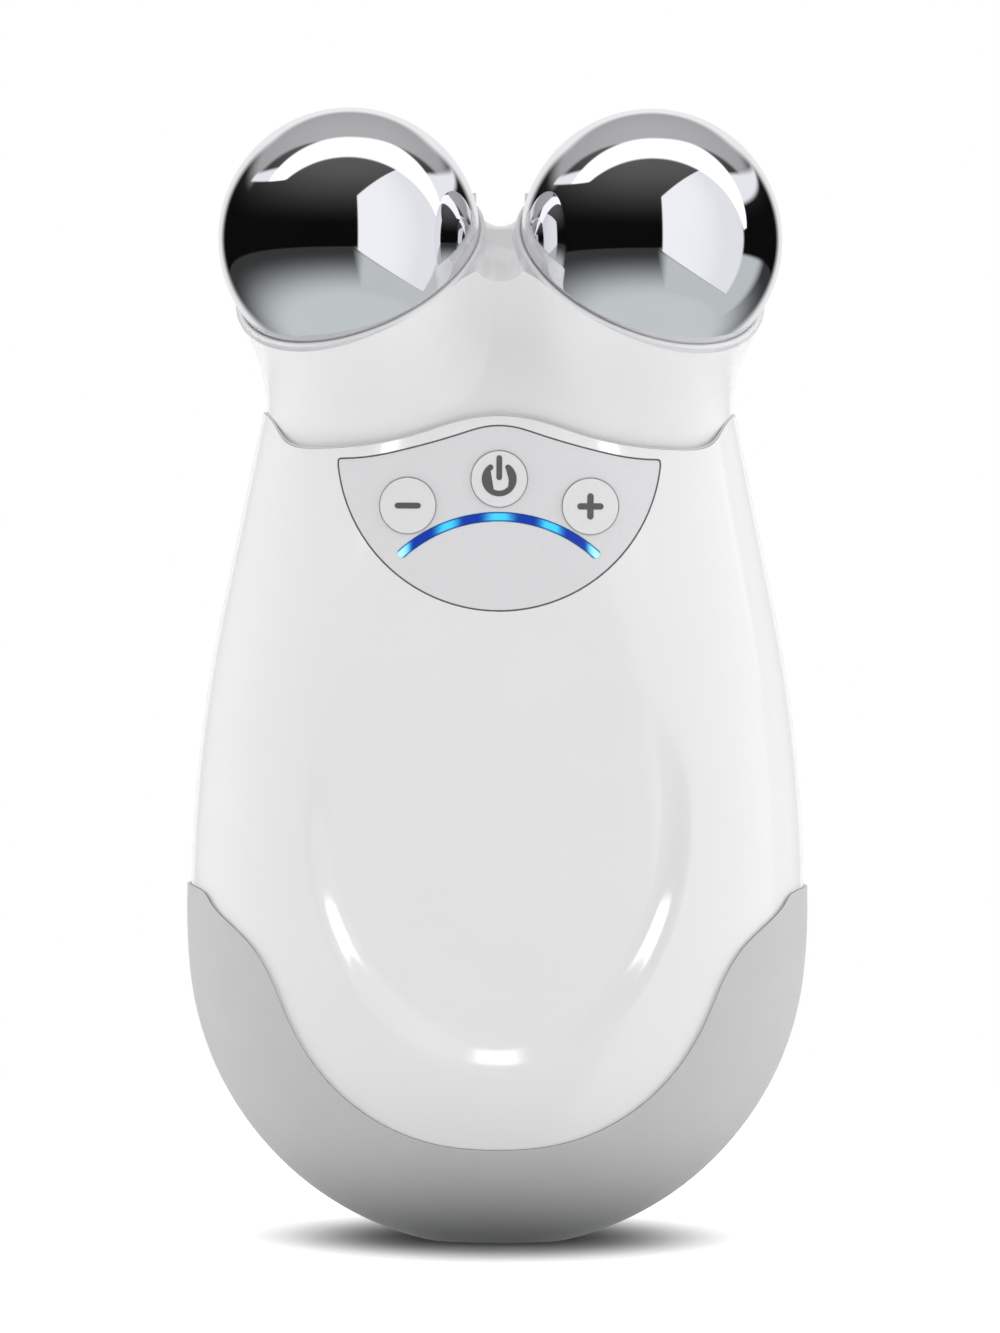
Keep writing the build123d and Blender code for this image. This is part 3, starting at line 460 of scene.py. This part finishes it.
def gloss_white(name, lip_depth=0.0):
    """Polished white plastic; the front half also has the crisp lip round the scoop's low end."""
    white = Finish(name)
    flow = white.grain(70.0, 3.0)
    relief = white.grain(900.0, 1.0) * 0.000004
    if lip_depth:
        lip_level, lip_half_height = 54.0 * MM, 33.0 * MM
        x, _, level = white.axes()
        down = (level - lip_level) / lip_half_height
        away = (x / (scoop_half_width * MM)) ** 2.0 + down * down
        low_end = level.ramp(72.0 * MM, 42.0 * MM)
        relief = relief - (1.0 - away.ramp(0.66, 0.98)) * low_end * lip_depth
    return white.surface(
        Base_Color=white.blend(flow, (0.855, 0.855, 0.865), (0.88, 0.88, 0.885)),
        Roughness=0.085 + flow * 0.05,
        Normal=white.bump(relief, 1.0),
        IOR=1.5,
    )


housing_field = body_field(grip_proud)
white_plastic = gloss_white("gloss white plastic")
scooped_plastic = gloss_white("gloss white plastic with scoop", 1.0 * MM)
for node, finish in (("front_housing", scooped_plastic), ("back_housing", white_plastic)):
    housing = smoothed(node + "_skin", node, housing_field)
    housing.data.materials.append(finish)
    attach(housing, "body")
    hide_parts(node)

# Three small lamps, one metre away, shine on the front housing alone and as glossy light only, to
# pick out the lip of the scoop: angle to the right, angle up, size and power of each.
lip_aim_level = 0.04
lip_lit = bpy.data.collections.new("lit by the lip lamps")
lip_lit.objects.link(bpy.data.objects["front_housing_skin"])
for name, to_right, raised, size, power in (
    ("lip lamp left", 21.5, 15.5, (0.08, 0.13), 0.40),
    ("lip lamp right", -21.5, 15.5, (0.08, 0.15), 0.46),
    ("lip lamp middle", 0.0, 37.0, (0.15, 0.10), 0.52),
):
    aimed, tilt = radians(to_right), radians(raised)
    place = (sin(aimed) * cos(tilt), -cos(aimed) * cos(tilt), lip_aim_level + sin(tilt))
    lamp = light(name, place, (0, 0, lip_aim_level), size, power)
    lamp.visible_glossy = True
    lamp.visible_camera = False
    lamp.visible_diffuse = False
    lamp.light_linking.receiver_collection = lip_lit

# ---------------------------------------------------------------- base grip
# A grey soft-touch cup moulded in thermoplastic rubber and bonded round the foot of the body.
# Its skin is matt with a fine even texture.
soft = Finish("soft-touch grey rubber")
mottle = soft.grain(120.0, 3.0)
pores = soft.grain(5200.0)
grip_rubber = soft.surface(
    Base_Color=soft.blend(mottle, (0.545, 0.545, 0.547), (0.59, 0.59, 0.592)),
    Roughness=0.50 + mottle * 0.08,
    Normal=soft.bump(pores, 0.00002, 0.5),
    Sheen_Weight=0.12,
    Sheen_Roughness=0.5,
    IOR=1.45,
)
grip = smoothed("grip_cup", "base_grip", body_field(0.0))
grip.data.materials.append(grip_rubber)
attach(grip, "body")
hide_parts("base_grip")

# ---------------------------------------------------------------- control panel
# A thin satin plate, painted silver-white, set flush into the front.  A fine dark joint runs
# round it where it meets the housing, and a pale ring lines each button's opening.
panel = Finish("satin panel paint")
flake = panel.grain(2600.0)
cloud = panel.grain(50.0)
panel_paint = panel.surface(
    Base_Color=panel.blend(flake, (0.75, 0.75, 0.765), (0.80, 0.80, 0.81)),
    Roughness=0.34 + cloud * 0.06,
    Normal=panel.bump(flake, 0.000003, 0.6),
)
plate_sink = 0.05
plate_field = body_field(grip_proud + plate_sink)
plate = smoothed("panel_plate", "control_panel", plate_field)
plate.data.materials.append(panel_paint)
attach(plate, "body")
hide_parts("control_panel")


def bead_tree():
    """Geometry nodes: a round bead of a given radius along every line of a mesh."""
    tree = bpy.data.node_groups.new("bead along a joint", "GeometryNodeTree")
    sockets = (
        ("Joint", "NodeSocketGeometry", "INPUT"),
        ("Bead radius", "NodeSocketFloat", "INPUT"),
        ("Point spacing", "NodeSocketFloat", "INPUT"),
        ("Finish", "NodeSocketMaterial", "INPUT"),
        ("Bead", "NodeSocketGeometry", "OUTPUT"),
    )
    for name, kind, way in sockets:
        tree.interface.new_socket(name, in_out=way, socket_type=kind)
    start, line, even, ring, sweep, real, paint, end = (
        tree.nodes.new(kind)
        for kind in (
            "NodeGroupInput", "GeometryNodeMeshToCurve", "GeometryNodeResampleCurve",
            "GeometryNodeCurvePrimitiveCircle", "GeometryNodeCurveToMesh",
            "GeometryNodeRealizeInstances", "GeometryNodeSetMaterial", "NodeGroupOutput",
        )
    )
    even.mode = "LENGTH"
    ring.inputs["Resolution"].default_value = 10
    sweep.inputs["Fill Caps"].default_value = True
    for source, target in (
        (start.outputs["Joint"], line.inputs["Mesh"]),
        (line.outputs["Curve"], even.inputs["Curve"]),
        (start.outputs["Point spacing"], even.inputs["Length"]),
        (start.outputs["Bead radius"], ring.inputs["Radius"]),
        (even.outputs["Curve"], sweep.inputs["Curve"]),
        (ring.outputs["Curve"], sweep.inputs["Profile Curve"]),
        (sweep.outputs["Mesh"], real.inputs["Geometry"]),
        (real.outputs["Geometry"], paint.inputs["Geometry"]),
        (start.outputs["Finish"], paint.inputs["Material"]),
        (paint.outputs["Geometry"], end.inputs["Bead"]),
    ):
        tree.links.new(source, target)
    return tree


joint_bead = bead_tree()


def beaded(name, points, lines, radius, spacing, finish):
    """Bead along lines between points, as a plain mesh."""
    path = bpy.data.meshes.new(name + "_path")
    path.from_pydata(points, lines, [])
    shape = bmesh.new()
    shape.from_mesh(path)
    bmesh.ops.remove_doubles(shape, verts=shape.verts, dist=0.01 * MM)
    shape.to_mesh(path)
    shape.free()
    carrier = add_piece(name + "_path", path)
    modifier = carrier.modifiers.new("bead", "NODES")
    modifier.node_group = joint_bead
    given = {"Bead radius": radius * MM, "Point spacing": spacing * MM, "Finish": finish}
    for item in joint_bead.interface.items_tree:
        if item.name in given:
            modifier[item.identifier] = given[item.name]
    depsgraph = bpy.context.evaluated_depsgraph_get()
    mesh = bpy.data.meshes.new_from_object(carrier.evaluated_get(depsgraph))
    bpy.data.objects.remove(carrier)
    mesh.name = name
    for face in mesh.polygons:
        face.use_smooth = True
    return add_piece(name, mesh)


def joint_lines(skins, keep, shift):
    """The skins' sharp or open edges that keep() accepts, as moved points and pairs of them."""
    sharp_angle = radians(35)
    points, lines = [], []
    for skin in skins:
        mesh = skin.data
        sides = {}
        for face in mesh.polygons:
            for key in face.edge_keys:
                sides.setdefault(key, []).append(face.normal)
        for (first, second), normals in sides.items():
            if len(normals) == 2 and normals[0].angle(normals[1], 0.0) < sharp_angle:
                continue
            ends = [mesh.vertices[first].co / MM, mesh.vertices[second].co / MM]
            if keep(*ends):
                lines.append((len(points), len(points) + 1))
                points += [shift(end) * MM for end in ends]
    return points, lines


button_places = {"power": (0.0, 94.6), "minus": (-11.15, 91.3), "plus": (11.15, 91.3)}
opening_radius = 3.62
clear_of_buttons = 4.2
light_slot_half_width = 13.5
light_slot_foot, light_slot_top = 83.5, 95.0


def lies_on(field, ends, error=0.004):
    """True where all the ends are on a field's zero."""
    return all(abs(field(*end)) < error for end in ends)


def from_buttons(ends):
    """Least distance from the buttons' centres, in the plate's plane."""
    return min(
        hypot(x - button_x, level - button_level)
        for x, _, level in ends
        for button_x, button_level in button_places.values()
    )


def on_plate_outline(*ends):
    """True on the plate's outer front edge, away from its button and light openings."""
    at_light_slot = all(
        abs(x) < light_slot_half_width and light_slot_foot < level < light_slot_top
        for x, _, level in ends
    )
    clear = from_buttons(ends) > clear_of_buttons and not at_light_slot
    return lies_on(plate_field, ends) and clear


def round_buttons(*ends):
    """True on the front edges of the button openings."""
    return lies_on(plate_field, ends) and all(from_buttons([end]) < opening_radius for end in ends)


groove_dark = grained(
    "dark joint line", (3000.0,), ((0.10, 0.10, 0.105), (0.14, 0.14, 0.145)), (0.55, 0.1)
)
outline_path = joint_lines([plate], on_plate_outline, lambda end: end + Vector((0, 0.04, 0)))
outline = beaded("panel_joint_line", *outline_path, 0.1, 0.4, groove_dark)
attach(outline, "body")

pale_rubber = grained(
    "pale gasket rubber", (2400.0,), ((0.60, 0.60, 0.61), (0.66, 0.66, 0.67)), (0.45, 0.1)
)
ring_path = joint_lines([plate], round_buttons, lambda end: end + Vector((0, 0.05, 0)))
button_rings = beaded("button_opening_rings", *ring_path, 0.1, 0.3, pale_rubber)
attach(button_rings, "body")

# ---------------------------------------------------------------- joints of the housings
# A pale rubber gasket lies in the joint under the head, and a finer bead of the same rubber shows
# where the two housings meet at the flanks.  Both are swept along the skins' own edges.
rim_foot = 96.0
clear_of_plate = 0.6
parting_foot = 44.0
beside_parting = 0.05


def on_top_rim(*ends):
    """True on the housings' upper rim, along the joint under the head."""
    if not lies_on(housing_field, ends) or any(end.z < rim_foot for end in ends):
        return False
    from_plate = min(
        (end - vertex.co / MM).length for vertex in plate.data.vertices for end in ends
    )
    return from_plate > clear_of_plate and max(abs(end.y) for end in ends) > beside_parting


def into_joint(end):
    """Point moved up into the joint and a little inward."""
    return end + Vector((0, 0, 0.13)) - Vector((end.x, end.y, 0)).normalized() * 0.12


def on_parting(*ends):
    """True on the outer edge where the two housings meet at the flanks, above the grip."""
    at_flank = all(abs(end.y) < beside_parting and end.z > parting_foot for end in ends)
    return at_flank and lies_on(housing_field, ends, 0.006)


def sunk_in(end):
    """Point moved a little into the wall."""
    return end - Vector((end.x, 0, 0)).normalized() * 0.04


housings = [bpy.data.objects[node + "_skin"] for node in ("front_housing", "back_housing")]
gasket_path = joint_lines(housings, on_top_rim, into_joint)
gasket = beaded("head_joint_gasket", *gasket_path, 0.12, 0.5, pale_rubber)
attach(gasket, "body")

parting_path = joint_lines(housings[:1], on_parting, sunk_in)
parting = beaded("housing_parting_line", *parting_path, 0.07, 0.5, pale_rubber)
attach(parting, "body")

# ---------------------------------------------------------------- buttons and their signs
# Three round satin caps stand a little proud of the plate.  Power, minus and plus are printed on
# them in grey.
cap_plastic = grained(
    "satin white caps", (1800.0,), ((0.80, 0.80, 0.81), (0.835, 0.835, 0.84)), (0.30, 0.06),
    relief=(0.000003, 0.6),
)
sign_ink = grained(
    "grey printing ink", (3000.0,), ((0.10, 0.10, 0.105), (0.125, 0.125, 0.13)), (0.42, 0.08)
)
button_inset = 0.2
print_height = 0.03
cap_steps = 8
ordering_way = Vector((1.0, 0.137, 0.379))


def ring_points(radius, start, end, count):
    """Points along an arc, angles in degrees from the right."""
    turns = [radians(start + (end - start) * k / count) for k in range(count + 1)]
    return [(radius * cos(turn), radius * sin(turn)) for turn in turns]


def stroke(points, width):
    """Outline of a line with a width and rounded ends: one side, its end, the other, its end."""
    half = width / 2
    rails = []
    for k, (x, z) in enumerate(points):
        before = points[max(k - 1, 0)]
        after = points[min(k + 1, len(points) - 1)]
        dx, dz = after[0] - before[0], after[1] - before[1]
        run = hypot(dx, dz)
        rails.append((x, z, -dz / run * half, dx / run * half))
    outline = []
    for way in (1, -1):
        outline += [(x + way * nx, z + way * nz) for x, z, nx, nz in rails[::way]]
        x, z, nx, nz = rails[::way][-1]
        for k in range(1, cap_steps):
            turn = atan2(way * nz, way * nx) - pi * k / cap_steps
            outline.append((x + half * cos(turn), z + half * sin(turn)))
    return outline


def printed(name, outlines, centre):
    """Thin print lying on a cap: outlines in the cap's own plane, carried onto its surface."""
    shape = bmesh.new()
    cx, cz = centre
    for outline in outlines:
        verts = [shape.verts.new((x, 0, z)) for x, z in outline]
        shape.faces.new(verts)
    bmesh.ops.triangulate(shape, faces=shape.faces)
    walls = bmesh.ops.extrude_face_region(shape, geom=shape.faces[:])
    raised = {v for v in walls["geom"] if isinstance(v, bmesh.types.BMVert)}
    for vertex in shape.verts:
        x, z = vertex.co.x + cx, vertex.co.z + cz
        above = print_height if vertex in raised else -print_height
        vertex.co = Vector((x, -front_surface(x, z, button_inset) - above, z)) * MM
    bmesh.ops.recalc_face_normals(shape, faces=shape.faces)
    # The extrusion's order varies from run to run, so both are put in order along one direction.
    shape.verts.sort(key=lambda vertex: vertex.co.dot(ordering_way))
    shape.faces.sort(key=lambda face: face.calc_center_median().dot(ordering_way))
    mesh = bpy.data.meshes.new(name)
    shape.to_mesh(mesh)
    shape.free()
    piece = add_piece(name, mesh)
    piece.data.materials.append(sign_ink)
    return piece


# Each sign's strokes, in mm from the middle of its cap, and their widths.
signs = {
    "power": [
        stroke(ring_points(1.78, 127, 413, 40), 0.70),
        stroke([(0, 2.55), (0, 1.4), (0, 0.2)], 0.70),
    ],
    "minus": [stroke([(-1.24, 0), (0, 0), (1.24, 0)], 0.72)],
    "plus": [
        stroke([(-1.22, 0), (-0.4, 0)], 0.78),
        stroke([(1.22, 0), (0.4, 0)], 0.78),
        stroke([(0, -1.22), (0, 0), (0, 1.22)], 0.78),
    ],
}
for name, outlines in signs.items():
    coat(cap_plastic, name + "_button")
    sign = printed(name + "_sign", outlines, button_places[name])
    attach(sign, name + "_button")

# ---------------------------------------------------------------- light bar
# A curved clear light guide over five blue diodes: pale cyan where a diode shines through, deep
# blue between them.
bar_bend = 17.72 * MM
bar_middle = 72.28 * MM
bar_half_span = 11.9 * MM
bar_half_width = 0.55 * MM
diode_spots = ((0.0, 0.15), (0.53, 0.12), (0.97, 0.07))     # place and width, of the half span
deep_blue, cyan = (0.003, 0.012, 0.22), (0.06, 0.62, 0.88)
pale_end, dark_edge = (0.45, 0.90, 1.0), (0.0, 0.03, 0.12)
glow = Finish("lit light guide")
glow_x, _, glow_level = glow.axes()
glow_rise = glow_level - bar_middle
off_line = ((glow_x * glow_x + glow_rise * glow_rise) ** 0.5 - bar_bend).size() / bar_half_width
spread = glow_x.size() / bar_half_span
spots = 0.0
for centre, width in diode_spots:
    distance = (spread - centre) / width
    spots = (-(distance * distance)).maths("EXPONENT") + spots
shimmer = glow.grain(1100.0, 3.0)
lit_part = (spots * (0.7 + shimmer * 0.5)).ramp(0.08, 0.95)
tint = glow.blend(lit_part, deep_blue, cyan)
tint = glow.blend(spread.ramp(0.90, 1.0), tint, pale_end)
tint = glow.blend(off_line.ramp(0.55, 1.0), tint, dark_edge)
light_guide = glow.surface(
    Base_Color=(0.01, 0.04, 0.22),
    Roughness=0.16 + shimmer * 0.05,
    Emission_Color=tint,
    Emission_Strength=1.1,
)
coat(light_guide, "light_bar")

# ---------------------------------------------------------------- head shell
# The pull-off head: one gloss white moulding that swells from an oval neck into two cups, with a
# saddle between them.
head = smoothed("head_moulding", "head_shell")
head.data.materials.append(white_plastic)
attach(head, "head")
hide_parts("head_shell")

# ---------------------------------------------------------------- spheres, cup lips and seals
# Two hollow steel spheres, polished and plated.  Each is cut flat below, screwed down in its cup
# and ringed by a thin pale seal.  The cups end in a rolled white lip.
chrome = Finish("polished plating")
haze = chrome.grain(160.0, 4.0, 0.6)
wipe = chrome.grain(420.0, 2.0, 0.5, (1.0, 1.0, 6.0))
plating = chrome.surface(
    Base_Color=chrome.blend(haze, (0.80, 0.80, 0.825), (0.85, 0.85, 0.87)),
    Metallic=1.0,
    Roughness=0.018 + haze * wipe * 0.05,
)
sides = {"left": -1, "right": 1}
ball_radius = 16.1
ball_cut = 9.0
ball_rows, ball_columns = 96, 160
ball_centre = (18.5, -9.12887, 123.9)
cup_axis = (0.342020, -0.525472, 0.779041)
lip_level = -4.15       # along the cup's axis, from the ball's centre
lip_radius = 15.86
lip_bead = 0.345
lip_steps = 180


def cup_frame(side):
    """Ball centre, cup axis and two directions square to it."""
    centre = Vector((side * ball_centre[0], ball_centre[1], ball_centre[2]))
    axis = Vector((side * cup_axis[0], cup_axis[1], cup_axis[2])).normalized()
    across = axis.orthogonal().normalized()
    return centre, axis, across, axis.cross(across)


def turned_ball(name, side):
    """Sphere cut flat below, turned about its cup's axis."""
    centre, axis, across, depth = cup_frame(side)
    lowest = asin(-ball_cut / ball_radius)
    shape = bmesh.new()
    rings = []
    for row in range(ball_rows):
        turn = lowest + (pi / 2 - lowest) * row / ball_rows
        ring = []
        for column in range(ball_columns):
            angle = 2 * pi * column / ball_columns
            flat = across * cos(angle) + depth * sin(angle)
            point = centre + (axis * sin(turn) + flat * cos(turn)) * ball_radius
            ring.append(shape.verts.new(point * MM))
        rings.append(ring)
    top = shape.verts.new((centre + axis * ball_radius) * MM)
    for lower, upper in zip(rings, rings[1:]):
        for k in range(ball_columns):
            j = (k + 1) % ball_columns
            shape.faces.new((lower[k], lower[j], upper[j], upper[k]))
    for k in range(ball_columns):
        shape.faces.new((rings[-1][k], rings[-1][(k + 1) % ball_columns], top))
    for face in shape.faces:
        face.smooth = True
    shape.faces.new(reversed(rings[0])).smooth = False
    bmesh.ops.recalc_face_normals(shape, faces=shape.faces)
    mesh = bpy.data.meshes.new(name)
    shape.to_mesh(mesh)
    shape.free()
    return add_piece(name, mesh)


for side_name, side in sides.items():
    ball = turned_ball(side_name + "_sphere", side)
    ball.data.materials.append(plating)
    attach(ball, "head")
    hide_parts(side_name + "_ball")

for side_name, side in sides.items():
    centre, axis, across, depth = cup_frame(side)
    turns = [2 * pi * k / lip_steps for k in range(lip_steps)]
    ring = [
        (centre + axis * lip_level + (across * cos(turn) + depth * sin(turn)) * lip_radius) * MM
        for turn in turns
    ]
    lines = [(k, (k + 1) % lip_steps) for k in range(lip_steps)]
    lip = beaded(side_name + "_cup_lip", ring, lines, lip_bead, 0.5, white_plastic)
    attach(lip, "head")

seal_rubber = grained(
    "pale seal rubber", (2400.0,), ((0.84, 0.84, 0.85), (0.88, 0.88, 0.89)), (0.45, 0.1)
)
coat(seal_rubber, "left_seal", "right_seal")

# ---------------------------------------------------------------- inner mouldings
# Socket deck, tray, spigot and battery cradle: natural white ABS with a spark-eroded matt skin.
inner = Finish("matt inner plastic")
inner_grain = inner.grain(3600.0)
inner_cloud = inner.grain(90.0)
inner_plastic = inner.surface(
    Base_Color=inner.blend(inner_cloud, (0.66, 0.66, 0.67), (0.71, 0.71, 0.715)),
    Roughness=0.46 + inner_cloud * 0.08,
    Normal=inner.bump(inner_grain, 0.000012, 0.7),
)
coat(inner_plastic, "head_socket", "head_base", "battery_holder")

# ---------------------------------------------------------------- contacts and screws
# Gold-plated pins, sleeves and studs carry the current; zinc-plated screws hold the halves.
gold_plate = grained(
    "gold plating", (700.0, 3.0), ((0.80, 0.58, 0.26), (0.88, 0.67, 0.33)), (0.16, 0.10),
    Metallic=1.0,
)
zinc_plate = grained(
    "zinc-plated steel", (900.0, 3.0, 0.6, (1.0, 1.0, 0.08)),
    ((0.50, 0.51, 0.53), (0.62, 0.63, 0.64)), (0.24, 0.16), Metallic=1.0,
)
coat(
    gold_plate, "charging_contacts", "contact_sleeves", "contact_pins", "contact_straps",
    "battery_contacts",
)
coat(
    zinc_plate, "board_screws", "charge_board_screw", "socket_screws", "case_screws",
    "head_screws", "ball_screws",
)

# ---------------------------------------------------------------- circuit and battery
# Green solder-masked boards with copper tracks under the mask, black moulded packages, blue
# diodes, a ferrite coil and a sleeved lithium cell.
mask = Finish("green solder mask")
tracks = mask.node(
    "ShaderNodeTexVoronoi", {"distance": "CHEBYCHEV"}, Scale=420.0, Randomness=0.85,
    Vector=mask.node("ShaderNodeTexCoord", out="Object"),
)
track_edge = tracks.ramp(0.25, 0.32)
board_mask = mask.surface(
    Base_Color=mask.blend(track_edge, (0.012, 0.16, 0.06), (0.02, 0.24, 0.09)),
    Roughness=0.26 + track_edge * 0.08,
    Normal=mask.bump(track_edge, 0.00003, 0.6),
)
black_package = grained(
    "black moulded package", (4200.0,), ((0.014, 0.014, 0.016), (0.03, 0.03, 0.033)),
    (0.44, 0.14), relief=(0.00001, 0.6),
)
diode_lens = grained(
    "blue diode", (2000.0,), ((0.18, 0.42, 0.92), (0.24, 0.5, 0.96)), (0.2, 0.05),
    Emission_Color=(0.12, 0.5, 1.0), Emission_Strength=0.5,
)
ferrite_body = grained(
    "ferrite", (2600.0, 3.0), ((0.07, 0.07, 0.075), (0.12, 0.12, 0.125)), (0.5, 0.15),
    relief=(0.00002, 0.7), Metallic=0.4,
)
sleeve = Finish("battery sleeve")
_, _, sleeve_level = sleeve.axes()
sleeve_wrinkle = sleeve.grain(800.0, 2.0, 0.5, (1.0, 1.0, 0.2))
top_band = sleeve_level.ramp(0.0735, 0.0739)
cell_sleeve = sleeve.surface(
    Base_Color=sleeve.blend(top_band, (0.08, 0.20, 0.42), (0.62, 0.63, 0.66)),
    Roughness=0.25 + sleeve_wrinkle * 0.12,
    Normal=sleeve.bump(sleeve_wrinkle, 0.00002, 0.5),
)
coat(board_mask, "main_board", "charge_board")
coat(
    black_package, "board_chips", "switch_bodies", "buzzer", "power_plunger", "minus_plunger",
    "plus_plunger",
)
coat(diode_lens, "leds")
coat(ferrite_body, "boost_coil")
coat(cell_sleeve, "battery_cell")
